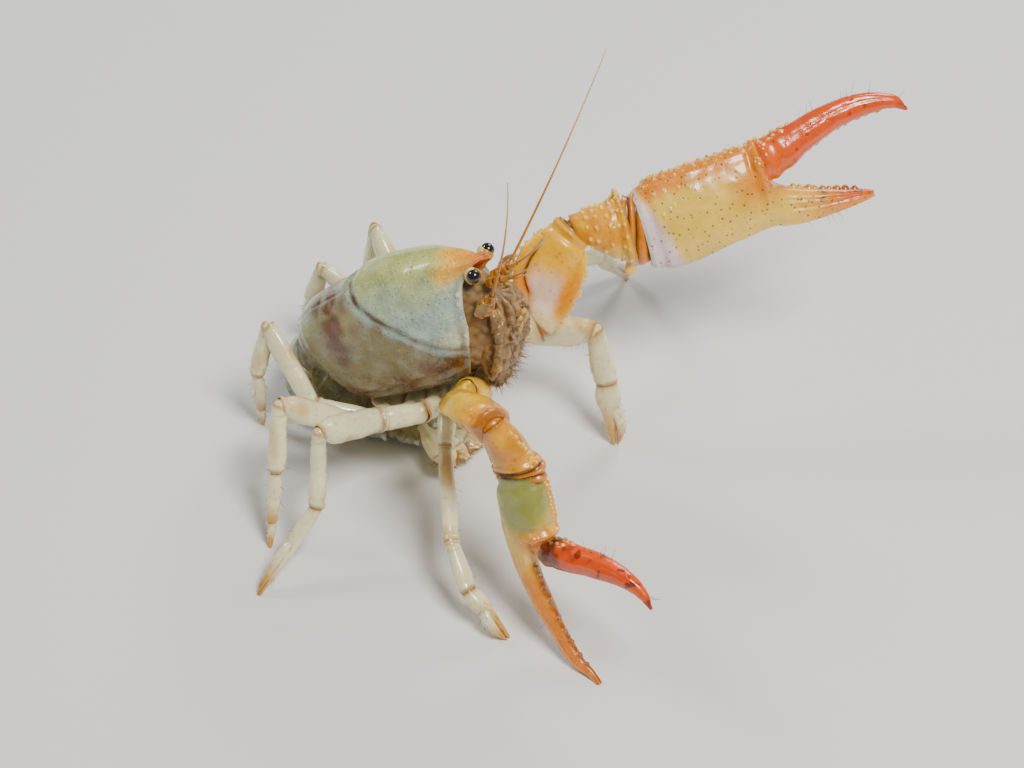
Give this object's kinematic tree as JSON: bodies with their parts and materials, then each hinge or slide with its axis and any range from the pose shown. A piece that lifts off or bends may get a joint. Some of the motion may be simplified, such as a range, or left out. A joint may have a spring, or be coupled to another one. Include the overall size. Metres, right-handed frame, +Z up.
{
  "type": "burrowing crayfish model",
  "caption": "Still life-size model of a tubercle burrowing crayfish, reared up on its legs with both claws open and its tail tucked under.",
  "frame": {"origin": "centre of the bounding box at the floor, under the feet", "axes": "+X is the heading of the animal, +Y its left side, +Z up"},
  "size_m": [0.0592, 0.0596, 0.0447],
  "materials": {
    "carapace": "pale olive to blue-grey wet shell",
    "underside": "ivory shell",
    "abdomen": "pale olive-grey shell",
    "eye": "glossy black",
    "feeler": "amber",
    "mouth": "dark brown, mud-stained",
    "claw_arm": "orange with yellow tubercles",
    "palm": "cream to orange, dark pits",
    "finger": "red-orange, glossy",
    "leg": "ivory, wet"
  },
  "bodies": {
    "root": {"carapace_head": "carapace", "carapace_thorax": "carapace", "sternum": "underside", "abdomen_1": "abdomen", "abdomen_2": "abdomen", "abdomen_3": "abdomen", "abdomen_4": "abdomen", "abdomen_5": "abdomen", "abdomen_6": "abdomen", "telson": "abdomen", "uropod_inner_left": "abdomen", "uropod_outer_left": "abdomen", "eye_left": "eye", "antenna_left": "feeler", "antennule_left": "feeler", "antennal_scale_left": "feeler", "maxilliped_left": "mouth", "claw_left_ischium": "claw_arm", "claw_left_merus": "claw_arm", "claw_left_carpus": "claw_arm", "claw_left_palm": "palm", "claw_left_dactyl": "finger", "leg_left_2_merus": "leg", "leg_left_2_carpus": "leg", "leg_left_2_propodus": "leg", "leg_left_3_merus": "leg", "leg_left_3_carpus": "leg", "leg_left_3_propodus": "leg", "leg_left_4_merus": "leg", "leg_left_4_carpus": "leg", "leg_left_4_propodus": "leg", "leg_left_5_merus": "leg", "leg_left_5_carpus": "leg", "leg_left_5_propodus": "leg", "uropod_inner_right": "abdomen", "uropod_outer_right": "abdomen", "eye_right": "eye", "antenna_right": "feeler", "antennule_right": "feeler", "antennal_scale_right": "feeler", "maxilliped_right": "mouth", "claw_right_ischium": "claw_arm", "claw_right_merus": "claw_arm", "claw_right_carpus": "claw_arm", "claw_right_palm": "palm", "claw_right_dactyl": "finger", "leg_right_2_merus": "leg", "leg_right_2_carpus": "leg", "leg_right_2_propodus": "leg", "leg_right_3_merus": "leg", "leg_right_3_carpus": "leg", "leg_right_3_propodus": "leg", "leg_right_4_merus": "leg", "leg_right_4_carpus": "leg", "leg_right_4_propodus": "leg", "leg_right_5_merus": "leg", "leg_right_5_carpus": "leg", "leg_right_5_propodus": "leg", "mouth": "mouth"}
  },
  "joints": []
}
